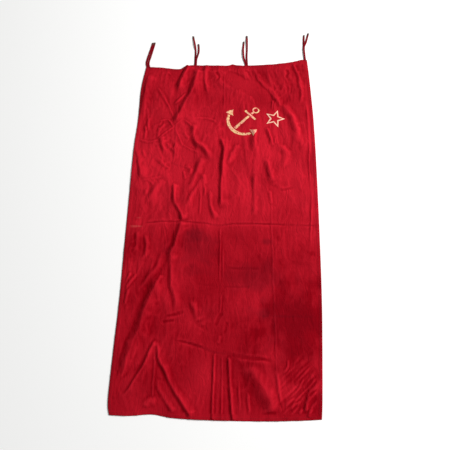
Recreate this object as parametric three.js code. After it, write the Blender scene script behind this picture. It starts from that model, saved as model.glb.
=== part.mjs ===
// A cloth flag with tie strings, opened out face up on a flat surface. The hoist, the short edge
// that ties to a staff, is at +Y, and the fly is at -Y. The cloth keeps the ridges that storage and
// handling left in it, and touches the surface between them. All sizes are in millimetres.

import * as THREE from 'three';

// ---- Driving dimensions ----

const CLOTH_THICKNESS = 1.5;
const CELLS_ACROSS = 38;
const CELLS_ALONG = 54;

const STRING_WIDTH = 9;
const STRING_THICKNESS = 1.6;
const STRING_STEP = 22;
const PIECE_GAP = 0.35;

// Height of a string's middle when it lies on the surface, and when it lies on another string.
const LOW = STRING_THICKNESS / 2;
const HIGH = LOW + STRING_THICKNESS + PIECE_GAP;

// A ridge fades out over this share of its length at each end.
const RIDGE_FADE = 0.28;
const RIDGE_SAMPLES = 24;

// ---- Outline: each edge as [x, y] points that a smooth curve runs through ----

const HOIST_EDGE = [
  [-426, 830], [-350, 827], [-258, 821], [-227, 833], [-195, 847], [-132, 846], [-4, 848],
  [30, 858], [68, 850], [187, 859], [290, 868], [350, 882], [395, 896], [427, 896],
];
const FLY_EDGE = [
  [-432, -886], [-348, -887], [-262, -880], [-181, -891], [-38, -896], [152, -896],
  [327, -890], [414, -884],
];
const WEST_EDGE = [
  [-432, -886], [-443, -829], [-443, -650], [-440, -422], [-443, -145], [-445, 107],
  [-447, 325], [-441, 499], [-442, 683], [-432, 786], [-426, 830],
];
const EAST_EDGE = [
  [414, -884], [420, -810], [430, -614], [439, -402], [444, -125], [447, 235],
  [445, 520], [435, 767], [427, 896],
];

// ---- Main ridges ----
// Each crest runs from its hoist end to its fly end. The west flank is the steep one.

const RIDGES = [
  { height: 8, steep: 26, gentle: 42, crest: [[-392, 810], [-408, 720], [-416, 600], [-421, 470]] },
  { height: 12, steep: 32, gentle: 36, crest: [[-203, 840], [-218, 780], [-236, 720], [-248, 660]] },
  { height: 14, steep: 32, gentle: 44, crest: [[-152, 810], [-176, 680], [-209, 575], [-246, 465]] },
  { height: 6, steep: 40, gentle: 26, crest: [[140, 820], [197, 707], [250, 625], [290, 560]] },
  { height: 6, steep: 24, gentle: 32, crest: [[280, 640], [330, 580], [372, 510], [392, 370]] },
  { height: 6, steep: 22, gentle: 26, crest: [[382, 800], [386, 690], [388, 585]] },
  { height: 9, steep: 24, gentle: 32, crest: [[-164, 490], [-145, 400], [-102, 345], [-58, 280]] },
  { height: 12, steep: 26, gentle: 36, crest: [[-24, 412], [-1, 300], [-10, 205], [-14, 20]] },
  { height: 8, steep: 24, gentle: 26, crest: [[136, 460], [144, 400], [148, 335]] },
  { height: 8, steep: 32, gentle: 32, crest: [[262, 370], [300, 310], [286, 225]] },
  { height: 7, steep: 26, gentle: 26, crest: [[197, 325], [218, 245], [226, 165]] },
  { height: 7, steep: 26, gentle: 30, crest: [[-110, 285], [-131, 205], [-170, 105]] },
  {
    height: 12, steep: 30, gentle: 42,
    crest: [[-238, 145], [-212, 35], [-192, -35], [-232, -210], [-212, -330], [-190, -450]],
  },
  {
    height: 10, steep: 40, gentle: 48,
    crest: [[-268, -278], [-290, -372], [-342, -515], [-368, -607], [-388, -700]],
  },
  { height: 10, steep: 30, gentle: 36, crest: [[-278, -588], [-316, -680], [-378, -811]] },
  { height: 10, steep: 28, gentle: 38, crest: [[-256, -600], [-221, -695], [-168, -792], [-119, -862]] },
  { height: 6, steep: 22, gentle: 24, crest: [[-20, -640], [-20, -760], [-20, -880]] },
  { height: 8, steep: 22, gentle: 26, crest: [[40, -656], [52, -760], [62, -872]] },
  { height: 9, steep: 42, gentle: 36, crest: [[121, -685], [188, -758], [214, -842]] },
  { height: 7, steep: 26, gentle: 28, crest: [[416, -738], [372, -790], [336, -868]] },
];

// ---- Tie strings: two to each tie, as [x, y, z] points from the hoist edge to the free end ----

const STRINGS = {
  string_1_west: [
    [-421, 831.3, LOW], [-427, 858, LOW], [-420, 906, LOW], [-410, 955, LOW], [-403, 997, LOW],
  ],
  string_1_east: [
    [-410.5, 830.9, LOW], [-416, 858, LOW], [-408, 906, LOW], [-399.5, 955, LOW], [-393, 998, LOW],
  ],
  string_2_west: [
    [-168.5, 847.7, LOW], [-168.5, 897, LOW], [-169, 938, LOW], [-175, 985, LOW],
    [-184, 1026, LOW], [-187, 1045, LOW],
  ],
  string_2_east: [
    [-163.5, 847.5, HIGH], [-163, 884, HIGH], [-158, 908, HIGH], [-153, 938, LOW],
    [-155, 979, LOW], [-158, 993, LOW],
  ],
  string_3_west: [
    [102, 853, LOW], [95, 880, LOW], [89, 910, LOW], [86, 957, LOW], [88, 998, LOW],
    [90, 1016, LOW],
  ],
  string_3_east: [
    [107.5, 852.8, HIGH], [106, 880, HIGH], [105, 915, LOW], [106, 944, LOW], [107, 999, LOW],
    [105, 1054, LOW],
  ],
  string_4_west: [
    [416, 897.2, LOW], [414, 951, LOW], [413, 992, LOW], [416, 1048, LOW], [418, 1070, LOW],
  ],
  string_4_east: [
    [417, 897.2, HIGH], [414, 951, HIGH], [415, 985, HIGH], [426, 1015, HIGH], [434, 1048, LOW],
    [442, 1080, LOW],
  ],
};

// ---- Cloth ----

const smoothCurve = (points) => new THREE.SplineCurve(points.map(([x, y]) => new THREE.Vector2(x, y)));

const hoistCurve = smoothCurve(HOIST_EDGE);
const flyCurve = smoothCurve(FLY_EDGE);
const westCurve = smoothCurve(WEST_EDGE);
const eastCurve = smoothCurve(EAST_EDGE);

const ridges = RIDGES.map((ridge) => ({
  ...ridge,
  crestPoints: smoothCurve(ridge.crest).getSpacedPoints(RIDGE_SAMPLES),
}));

// A point of the sheet, with across going from west to east and along from fly to hoist, 0 to 1.
function planPoint(across, along) {
  const fly = flyCurve.getPointAt(across);
  const hoist = hoistCurve.getPointAt(across);
  const west = westCurve.getPointAt(along);
  const east = eastCurve.getPointAt(along);
  const betweenEnds = fly.clone().lerp(hoist, along);
  const betweenSides = west.clone().lerp(east, across);
  const flyCorners = flyCurve.getPoint(0).lerp(flyCurve.getPoint(1), across);
  const hoistCorners = hoistCurve.getPoint(0).lerp(hoistCurve.getPoint(1), across);
  return betweenEnds.add(betweenSides).sub(flyCorners.lerp(hoistCorners, along));
}

// How far one ridge lifts the cloth at a point.
function ridgeLift(ridge, point) {
  let nearest = Infinity;
  let side = 1;
  let share = 0;
  for (let i = 0; i < RIDGE_SAMPLES; i += 1) {
    const start = ridge.crestPoints[i];
    const run = ridge.crestPoints[i + 1].clone().sub(start);
    const offset = point.clone().sub(start);
    const step = THREE.MathUtils.clamp(offset.dot(run) / run.lengthSq(), 0, 1);
    const distance = offset.clone().addScaledVector(run, -step).length();
    if (distance < nearest) {
      nearest = distance;
      side = Math.sign(run.cross(offset));
      share = (i + step) / RIDGE_SAMPLES;
    }
  }
  const reach = side < 0 ? ridge.steep : ridge.gentle;
  if (nearest >= reach) return 0;
  const flank = 0.5 + 0.5 * Math.cos((Math.PI * nearest) / reach);
  const fromEnd = Math.min(share, 1 - share);
  return ridge.height * flank * THREE.MathUtils.smoothstep(fromEnd, 0, RIDGE_FADE);
}

// The lift of all ridges together. The sum of cubes keeps crossing ridges from piling up.
function lift(point) {
  return Math.cbrt(ridges.reduce((sum, ridge) => sum + ridgeLift(ridge, point) ** 3, 0));
}

function clothGeometry() {
  const across = CELLS_ACROSS + 1;
  const layer = across * (CELLS_ALONG + 1);
  const under = [];
  const over = [];
  for (let j = 0; j <= CELLS_ALONG; j += 1) {
    for (let i = 0; i <= CELLS_ACROSS; i += 1) {
      const point = planPoint(i / CELLS_ACROSS, j / CELLS_ALONG);
      const height = lift(point);
      under.push(point.x, point.y, height);
      over.push(point.x, point.y, height + CLOTH_THICKNESS);
    }
  }

  const faces = [];
  const quad = (a, b, c, d) => faces.push(a, b, c, a, c, d);
  for (let j = 0; j < CELLS_ALONG; j += 1) {
    for (let i = 0; i < CELLS_ACROSS; i += 1) {
      const a = j * across + i;
      quad(a, a + across, a + across + 1, a + 1);
      quad(layer + a, layer + a + 1, layer + a + across + 1, layer + a + across);
    }
  }
  const wall = (a, b) => quad(a, b, layer + b, layer + a);
  for (let i = 0; i < CELLS_ACROSS; i += 1) {
    const hoist = CELLS_ALONG * across + i;
    wall(i, i + 1);
    wall(hoist + 1, hoist);
  }
  for (let j = 0; j < CELLS_ALONG; j += 1) {
    const west = j * across;
    const east = west + CELLS_ACROSS;
    wall(west + across, west);
    wall(east, east + across);
  }

  const geometry = new THREE.BufferGeometry();
  geometry.setAttribute('position', new THREE.Float32BufferAttribute([...under, ...over], 3));
  geometry.setIndex(faces);
  geometry.computeVertexNormals();
  return geometry;
}

// ---- Strings ----

function stringGeometry(points) {
  const path = new THREE.CatmullRomCurve3(points.map((point) => new THREE.Vector3(...point)));
  const x = STRING_THICKNESS / 2;
  const y = STRING_WIDTH / 2;
  const section = new THREE.Shape([
    new THREE.Vector2(-x, -y), new THREE.Vector2(x, -y),
    new THREE.Vector2(x, y), new THREE.Vector2(-x, y),
  ]);
  const geometry = new THREE.ExtrudeGeometry(section, {
    steps: Math.round(path.getLength() / STRING_STEP),
    bevelEnabled: false,
    extrudePath: path,
  });
  // Where a string comes down, its section tilts: its lower corners lie down on the surface.
  const position = geometry.getAttribute('position');
  for (let i = 0; i < position.count; i += 1) {
    position.setZ(i, Math.max(0, position.getZ(i)));
  }
  return geometry;
}

// ---- Materials and assembly ----

const calico = new THREE.MeshStandardMaterial({
  name: 'calico', color: 0xb3142a, roughness: 0.85, metalness: 0,
});
const string = new THREE.MeshStandardMaterial({
  name: 'string', color: 0x8a1226, roughness: 0.9, metalness: 0,
});

function named(name, geometry, material) {
  const mesh = new THREE.Mesh(geometry, material.clone());
  mesh.name = name;
  return mesh;
}

const cloth = named('cloth', clothGeometry(), calico);
const flag = new THREE.Group();
flag.add(cloth);
for (const [name, points] of Object.entries(STRINGS)) {
  flag.add(named(name, stringGeometry(points), string));
}

// The origin is on the surface, under the middle of the cloth's box.
const middle = new THREE.Box3().setFromObject(cloth).getCenter(new THREE.Vector3());
flag.position.set(-middle.x, -middle.y, 0);

export default flag;
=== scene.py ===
"""A tie-on cloth flag, opened out face up, with storage creases, painted motifs and tie strings."""
import logging
import math
from dataclasses import dataclass
from enum import Enum
from functools import partial
from typing import Any, Sequence

import bpy
import numpy as np
from mathutils import Matrix, Vector
from mathutils.bvhtree import BVHTree


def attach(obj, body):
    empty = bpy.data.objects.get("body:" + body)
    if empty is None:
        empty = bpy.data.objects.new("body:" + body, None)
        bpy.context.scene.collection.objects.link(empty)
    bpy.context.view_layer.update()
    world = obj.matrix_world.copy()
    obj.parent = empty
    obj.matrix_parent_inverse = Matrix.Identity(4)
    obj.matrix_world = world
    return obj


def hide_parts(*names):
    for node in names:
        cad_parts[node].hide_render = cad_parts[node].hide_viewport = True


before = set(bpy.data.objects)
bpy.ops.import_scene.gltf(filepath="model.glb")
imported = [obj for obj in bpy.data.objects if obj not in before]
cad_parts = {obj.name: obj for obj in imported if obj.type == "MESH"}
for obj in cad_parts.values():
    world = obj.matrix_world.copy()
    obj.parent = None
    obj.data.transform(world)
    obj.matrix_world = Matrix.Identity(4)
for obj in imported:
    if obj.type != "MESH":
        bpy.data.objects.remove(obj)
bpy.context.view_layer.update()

MM = 0.001
BODY = "root"

Plan = Sequence[tuple[float, float]]
Route = Sequence[tuple[float, float, float]]

log = logging.getLogger("flag")


# ---- Helpers ----

def linear(hex_colour: str) -> tuple[float, float, float, float]:
    """Turn an sRGB hex colour into linear light.

    Args:
        hex_colour: Six hex digits after a hash.

    Returns:
        Linear red, green, blue and an alpha of one.
    """
    parts = [int(hex_colour[i:i + 2], 16) / 255 for i in (1, 3, 5)]
    return (*[p / 12.92 if p <= 0.04045 else ((p + 0.055) / 1.055) ** 2.4 for p in parts], 1.0)


def per_mm(size: float) -> float:
    """Give a texture scale, per metre of the object, for a grain of this many millimetres."""
    return 1 / (size * MM)


def bands_per_mm(spacing: float) -> float:
    """Give a wave texture's scale for bands this many millimetres apart."""
    return math.pi / 10 * per_mm(spacing)


def add_node(tree: bpy.types.NodeTree, kind: str, settings: dict[Any, Any] | None = None,
             links: dict[Any, bpy.types.NodeSocket] | None = None) -> bpy.types.Node:
    """Add a node with its settings and links.

    Args:
        tree: The node tree that takes it.
        kind: Blender's name for the type of shader node, without its ShaderNode.
        settings: Properties by name, or inputs by name or number, with their values.
        links: Inputs by name or number, with the output that feeds each.

    Returns:
        The new node.
    """
    node = tree.nodes.new("ShaderNode" + kind)
    for key, value in (settings or {}).items():
        if isinstance(key, str) and hasattr(node, key):
            setattr(node, key, value)
        else:
            node.inputs[key].default_value = value
    for key, source in (links or {}).items():
        tree.links.new(source, node.inputs[key])
    return node


def start_material(name: str) -> tuple[bpy.types.Material, partial]:
    """Start a material.

    Args:
        name: Name of the material.

    Returns:
        The material with an empty node tree, and add_node for that tree.
    """
    material = bpy.data.materials.new(name)
    material.use_nodes = True
    material.node_tree.nodes.clear()
    return material, partial(add_node, material.node_tree)


def smooth_line(points: Sequence[Sequence[float]], count: int) -> np.ndarray:
    """Run a smooth line through points.

    Args:
        points: The points, in any number of dimensions.
        count: How many evenly spaced points to give back.

    Returns:
        The points of the line, one to a row.
    """
    given = np.asarray(points, float)
    ends = np.vstack([given[:1], given, given[-1:]])
    t = np.linspace(0, 1, 24, endpoint=False)[:, None]
    spans = []
    for a, b, c, d in zip(ends, ends[1:], ends[2:], ends[3:]):
        spans.append(b + t * ((c - a) / 2 + t * ((2 * a - 5 * b + 4 * c - d) / 2
                                                 + t * (3 * b - a - 3 * c + d) / 2)))
    dense = np.vstack([*spans, given[-1:]])
    run = np.concatenate([[0], np.cumsum(np.linalg.norm(np.diff(dense, axis=0), axis=1))])
    at = np.linspace(0, run[-1], count)
    return np.stack([np.interp(at, run, column) for column in dense.T], axis=1)


def length_of(points: np.ndarray) -> float:
    """Measure a line of points."""
    return float(np.linalg.norm(np.diff(points, axis=0), axis=1).sum())


def smoothstep(value: np.ndarray, low: float, high: float) -> np.ndarray:
    """Ease from 0 at low to 1 at high."""
    t = np.clip((value - low) / (high - low), 0, 1)
    return t * t * (3 - 2 * t)


def ripple(x: np.ndarray, y: np.ndarray, across: float, along: float, seed: int) -> np.ndarray:
    """Give smooth seeded noise with a mean of 0 and a spread of 1.

    Args:
        x: Places across the cloth, in millimetres.
        y: Places along the cloth, in millimetres.
        across: Size of its grain along x, in millimetres.
        along: Size of its grain along y, in millimetres.
        seed: Seed of the noise.

    Returns:
        The noise at each place.
    """
    gx, gy = (x + 1500) / across, (y + 2500) / along
    ix, iy = np.floor(gx).astype(int), np.floor(gy).astype(int)
    lattice = np.random.default_rng(seed).standard_normal((int(5000 / along) + 6,
                                                           int(3000 / across) + 6))

    def weights(f: np.ndarray) -> list[np.ndarray]:
        """Give the four weights of a cubic B-spline."""
        return [(1 - f) ** 3 / 6, (3 * f ** 3 - 6 * f ** 2 + 4) / 6,
                (-3 * f ** 3 + 3 * f ** 2 + 3 * f + 1) / 6, f ** 3 / 6]

    total = np.zeros_like(gx)
    for j, wy in enumerate(weights(gy - iy)):
        for i, wx in enumerate(weights(gx - ix)):
            total += wy * wx * lattice[iy + j, ix + i]
    return total / 0.48


def make_mesh(name: str, vertices: np.ndarray, faces: Sequence[Sequence[int]]) -> bpy.types.Object:
    """Make a smooth-shaded object from vertices in millimetres.

    Args:
        name: Name of the piece.
        vertices: Vertices, one to a row, in millimetres.
        faces: Vertex numbers of each face.

    Returns:
        The new object, in the scene.
    """
    mesh = bpy.data.meshes.new(name)
    mesh.from_pydata((vertices * MM).tolist(), [], faces)
    mesh.polygons.foreach_set("use_smooth", [True] * len(mesh.polygons))
    mesh.update()
    piece = bpy.data.objects.new(name, mesh)
    bpy.context.scene.collection.objects.link(piece)
    return piece


def tube_faces(first: int, rings: int, sides: int,
               flip: bool = False) -> list[tuple[int, ...]]:
    """Join rings of vertices into a tube with closed ends.

    Args:
        first: Number of the first vertex.
        rings: How many rings follow one another.
        sides: Vertices to a ring.
        flip: Whether the rings run the other way round.

    Returns:
        The faces.
    """
    faces = []
    for start in range(first, first + (rings - 1) * sides, sides):
        for k in range(sides):
            a, b = start + k, start + (k + 1) % sides
            faces.append((a, b, b + sides, a + sides) if flip else (a, a + sides, b + sides, b))
    last = first + (rings - 1) * sides
    ends = [tuple(range(first, first + sides)), tuple(reversed(range(last, last + sides)))]
    return faces + [end[::-1] for end in ends] if flip else faces + ends


def mark(piece: bpy.types.Object, name: str, values: np.ndarray) -> None:
    """Store one number at each vertex, for the materials."""
    attribute = piece.data.attributes.new(name, "FLOAT", "POINT")
    attribute.data.foreach_set("value", np.asarray(values, np.float32).ravel())


def dress(piece: bpy.types.Object, material: bpy.types.Material) -> None:
    """Give a piece its material and its slot, and set it on the body.

    Args:
        piece: The object.
        material: Its only material.
    """
    piece.data.materials.append(material)
    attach(piece, BODY)


# ---- Finishes ----

@dataclass(frozen=True)
class Calico:
    """Plain-woven cotton calico, piece-dyed red, washed and handled.

    The eye gets a matt, slightly uneven red: threads thicken into slubs, the dye is paler in clouds,
    and soiling sits in patches. The colour also holds painted shade along the rims, towards the fly
    end, in the hollows and along the pressed fold lines, and a painted highlight on the crests.
    """

    name: str
    # The pale end also gives the painted highlight on crests, and the deep end gives the painted shade
    # towards the fly end and in hollows.
    faded_and_lit: str
    deep: str
    # Colour laid over soiling and over painted shade along the rims and the pressed fold lines.
    grime: str
    # Colour where the surface is scuffed or the thread ends are bare.
    tip: str
    # The threads lie about 0.4 mm apart. They are drawn 2.4 mm apart, coarse enough to show.
    thread_mm: float = 2.4
    # Grain of the fading and of the mottling, and a slub's thickness and length.
    cloud_mm: float = 150.0
    mottle_mm: float = 16.0
    slub_mm: tuple[float, float] = (3.0, 60.0)
    # Small sharp crinkles: their grain across and along the cloth.
    crinkle_mm: tuple[float, float] = (24.0, 62.0)
    # Every stretched grain is this large upward, more than the folds are high.
    upward_mm: float = 60.0
    # Relief of the crinkles and of the threads, in metres.
    crinkle_depth: float = 0.0045
    thread_depth: float = 0.0004

    def build(self) -> bpy.types.Material:
        """Make the material.

        Returns:
            The material, ready to use.
        """
        material, add = start_material(self.name)
        place = add("TexCoord").outputs["Object"]
        clouds = add("TexNoise", {"Scale": per_mm(self.cloud_mm), "Detail": 3.0},
                     {"Vector": place}).outputs["Fac"]
        mottle = add("TexNoise", {"Scale": per_mm(self.mottle_mm), "Detail": 4.0, "Roughness": 0.6},
                     {"Vector": place}).outputs["Fac"]
        upward = per_mm(self.upward_mm)
        slubs = []
        for across, along in (self.slub_mm, self.slub_mm[::-1]):
            stretched = add("Mapping", {"Scale": (per_mm(across), per_mm(along), upward)},
                            {"Vector": place}).outputs["Vector"]
            slubs.append(add("TexNoise", {"Scale": 1.0, "Detail": 2.0},
                             {"Vector": stretched}).outputs["Fac"])
        slub = add("Math", {"operation": "ADD"}, {0: slubs[0], 1: slubs[1]}).outputs[0]

        wave = {"wave_type": "BANDS", "Scale": bands_per_mm(self.thread_mm), "Distortion": 0.6,
                "Detail Scale": 0.3}
        threads = [add("TexWave", {**wave, "bands_direction": direction},
                       {"Vector": place}).outputs["Fac"] for direction in ("X", "Y")]
        weave = add("Math", {"operation": "MULTIPLY"}, {0: threads[0], 1: threads[1]}).outputs[0]

        # This layer holds the cloth's fading, and also painted shade towards the fly end, a painted
        # highlight on crests and painted shade in hollows.
        fade = add("Attribute", {"attribute_name": "fade"}).outputs["Fac"]
        for share, source in ((0.5, clouds), (0.35, mottle), (0.18, slub)):
            fade = add("Math", {"operation": "MULTIPLY_ADD", 1: share},
                       {0: source, 2: fade}).outputs[0]
        fade = add("MapRange", {"From Min": 0.60, "From Max": 1.60}, {"Value": fade}).outputs["Result"]
        colour = add("Mix", {"data_type": "RGBA", 6: linear(self.deep), 7: linear(self.faded_and_lit)},
                     {0: fade}).outputs[2]

        # This layer holds soiling, and also painted shade along the rims and the pressed fold lines.
        dirt_and_shade_cover = add("Attribute", {"attribute_name": "grime"}).outputs["Fac"]
        patchy = add("MapRange", {"From Min": 0.35, "From Max": 0.62, "To Min": 0.75, "To Max": 1.1},
                     {"Value": mottle}).outputs["Result"]
        dirt_and_shade_cover = add("Math", {"operation": "MULTIPLY", "use_clamp": True},
                   {0: dirt_and_shade_cover, 1: patchy}).outputs[0]
        scuff = add("Attribute", {"attribute_name": "scuff"}).outputs["Fac"]
        for cover, over in ((dirt_and_shade_cover, self.grime), (scuff, self.tip)):
            colour = add("Mix", {"data_type": "RGBA", 7: linear(over)},
                         {0: cover, 6: colour}).outputs[2]

        # The noise's middle value makes each crinkle's sharp crest.
        across, along = self.crinkle_mm
        stretched = add("Mapping", {"Scale": (per_mm(across), per_mm(along), upward)},
                        {"Vector": place}).outputs["Vector"]
        crinkle = add("TexNoise", {"Scale": 1.0, "Detail": 3.0, "Roughness": 0.55, "Distortion": 0.9},
                      {"Vector": stretched}).outputs["Fac"]
        crinkle = add("Math", {"operation": "SUBTRACT", 1: 0.5}, {0: crinkle}).outputs[0]
        crinkle = add("Math", {"operation": "ABSOLUTE"}, {0: crinkle}).outputs[0]
        bump = add("Bump", {"Strength": 0.8, "Distance": self.crinkle_depth, "invert": True},
                   {"Height": crinkle}).outputs["Normal"]
        relief = add("Math", {"operation": "MULTIPLY_ADD", 1: 0.6}, {0: slub, 2: weave}).outputs[0]
        bump = add("Bump", {"Strength": 0.35, "Distance": self.thread_depth},
                   {"Height": relief, "Normal": bump}).outputs["Normal"]
        rough = add("MapRange", {"To Min": 0.82, "To Max": 0.95}, {"Value": mottle}).outputs["Result"]
        cotton = add("BsdfPrincipled",
                     {"IOR": 1.53, "Specular IOR Level": 0.03, "Sheen Weight": 0.05,
                      "Sheen Roughness": 0.6, "Sheen Tint": linear("#B01C2C")},
                     {"Base Color": colour, "Roughness": rough, "Normal": bump})
        add("OutputMaterial", None, {"Surface": cotton.outputs[0]})
        return material


@dataclass(frozen=True)
class StencilPaint:
    """Oil-bound gold paint, brushed through a stencil onto cotton.

    The eye gets a pale, chalky film, yellower where it is thick, that has cracked with the folds
    and worn down to the red threads.
    """

    name: str
    thick: str
    thin: str
    cloth: str
    # How much of the film has worn off, from 0 to 1.
    wear: float
    # Grain of the film's body, of its flakes and of its worn spots.
    body_mm: float = 38.0
    flake_mm: float = 6.0
    rub_mm: float = 9.0
    # Depth of a crack, in metres.
    crack_depth: float = 0.0004

    def build(self) -> bpy.types.Material:
        """Make the material.

        Returns:
            The material, ready to use.
        """
        material, add = start_material(self.name)
        place = add("TexCoord").outputs["Object"]
        body = add("TexNoise", {"Scale": per_mm(self.body_mm), "Detail": 2.0},
                   {"Vector": place}).outputs["Fac"]
        body = add("MapRange", {"From Min": 0.38, "From Max": 0.62}, {"Value": body}).outputs["Result"]
        colour = add("Mix", {"data_type": "RGBA", 6: linear(self.thin), 7: linear(self.thick)},
                     {0: body}).outputs[2]
        # The film has cracked into flakes.
        cracks = add("TexVoronoi", {"feature": "DISTANCE_TO_EDGE", "Scale": per_mm(self.flake_mm)},
                     {"Vector": place}).outputs["Distance"]
        cracks = add("MapRange", {"From Min": 0.02, "From Max": 0.09, "To Min": 1.0, "To Max": 0.0},
                     {"Value": cracks}).outputs["Result"]
        rubbed = add("TexNoise", {"Scale": per_mm(self.rub_mm), "Detail": 5.0, "Roughness": 0.7},
                     {"Vector": place}).outputs["Fac"]
        rubbed = add("MapRange",
                     {"From Min": 0.62 - 0.3 * self.wear, "From Max": 0.74 - 0.3 * self.wear},
                     {"Value": rubbed}).outputs["Result"]
        bare = add("Math", {"operation": "MULTIPLY_ADD", 1: 0.5, "use_clamp": True},
                   {0: cracks, 2: rubbed}).outputs[0]
        colour = add("Mix", {"data_type": "RGBA", 7: linear(self.cloth)},
                     {0: bare, 6: colour}).outputs[2]
        bump = add("Bump", {"Strength": 0.4, "Distance": self.crack_depth, "invert": True},
                   {"Height": bare}).outputs["Normal"]
        rough = add("MapRange", {"To Min": 0.55, "To Max": 0.9}, {"Value": bare}).outputs["Result"]
        paint = add("BsdfPrincipled", {"IOR": 1.5, "Specular IOR Level": 0.25},
                    {"Base Color": colour, "Roughness": rough, "Normal": bump})
        add("OutputMaterial", None, {"Surface": paint.outputs[0]})
        return material


@dataclass(frozen=True)
class SewingThread:
    """Two-ply red cotton thread: fine and matt, with the twist shown in painted shade."""

    name: str = "sewing_thread"
    light: str = "#9A1A2A"
    # Colour of the painted shade in the grooves between the plies.
    groove_shade: str = "#5E0A16"
    # The plies cross the thread this far apart.
    ply_mm: float = 0.7

    def build(self) -> bpy.types.Material:
        """Make the material.

        Returns:
            The material, ready to use.
        """
        material, add = start_material(self.name)
        place = add("TexCoord").outputs["Object"]
        # The twist is drawn as bands of painted shade between the plies.
        twist = add("TexWave", {"wave_type": "BANDS", "bands_direction": "DIAGONAL",
                                "Scale": bands_per_mm(self.ply_mm)},
                    {"Vector": place}).outputs["Fac"]
        colour = add("Mix", {"data_type": "RGBA", 6: linear(self.groove_shade), 7: linear(self.light)},
                     {0: twist}).outputs[2]
        thread = add("BsdfPrincipled", {"Roughness": 0.8, "IOR": 1.53, "Specular IOR Level": 0.2},
                     {"Base Color": colour})
        add("OutputMaterial", None, {"Surface": thread.outputs[0]})
        return material


# ---- Studio ----

@dataclass
class Studio:
    """Camera, plain floor and soft light, in metres and degrees unless a name says otherwise."""

    look_at: tuple[float, float, float] = (0.0108, -0.0611, 0.0)
    distance: float = 2.2102
    elevation: float = 68.245
    azimuth: float = 1.09
    roll: float = 0.204
    lens_mm: float = 38.37
    key_at: tuple[float, float, float] = (6.75, 2.4, 4.1)
    key_size: float = 2.9
    key_watts: float = 1100.0
    fill_level: float = 0.32
    floor_size: float = 12.0
    floor_drop_mm: float = 0.3
    floor_colour: str = "#FBFBFA"

    def camera(self) -> None:
        """Set the camera."""
        e, a, r = (math.radians(v) for v in (self.elevation, self.azimuth, self.roll))
        back = Vector((math.sin(a) * math.cos(e), -math.cos(a) * math.cos(e), math.sin(e)))
        right = (-back).cross(Vector((0, 0, 1))).normalized()
        up = right.cross(-back)
        right, up = right * math.cos(r) + up * math.sin(r), up * math.cos(r) - right * math.sin(r)
        lens = bpy.data.cameras.new("camera")
        lens.sensor_width = 36.0
        lens.lens = self.lens_mm
        lens.clip_start = 0.05
        eye = bpy.data.objects.new("camera", lens)
        turn = Matrix((right, up, back)).transposed().to_4x4()
        eye.matrix_world = Matrix.Translation(Vector(self.look_at) + back * self.distance) @ turn
        bpy.context.scene.collection.objects.link(eye)
        bpy.context.scene.camera = eye
        log.info("camera: %.2f m away, %.1f degrees up", self.distance, self.elevation)

    def light(self) -> None:
        """Set a soft key light on the east side and an even fill."""
        lamp = bpy.data.lights.new("key", "AREA")
        lamp.size = self.key_size
        lamp.energy = self.key_watts
        key = bpy.data.objects.new("key", lamp)
        key.location = self.key_at
        key.rotation_euler = Vector(self.key_at).to_track_quat("Z", "Y").to_euler()
        bpy.context.scene.collection.objects.link(key)
        world = bpy.data.worlds.new("fill")
        world.use_nodes = True
        world.node_tree.nodes["Background"].inputs["Color"].default_value = (1, 1, 1, 1)
        world.node_tree.nodes["Background"].inputs["Strength"].default_value = self.fill_level
        bpy.context.scene.world = world
        bpy.context.scene.view_settings.view_transform = "Standard"

    def floor(self) -> None:
        """Lay a plain pale floor just under the cloth."""
        half = self.floor_size / 2 / MM
        corners = [(x, y, -self.floor_drop_mm)
                   for x, y in ((-half, -half), (half, -half), (half, half), (-half, half))]
        floor = make_mesh("floor", np.array(corners), [(0, 1, 2, 3)])
        material = bpy.data.materials.new("pale_card")
        material.use_nodes = True
        card = material.node_tree.nodes["Principled BSDF"]
        card.inputs["Base Color"].default_value = linear(self.floor_colour)
        card.inputs["Roughness"].default_value = 0.95
        card.inputs["Specular IOR Level"].default_value = 0.1
        floor.data.materials.append(material)


# ---- Tie strings ----

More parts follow.
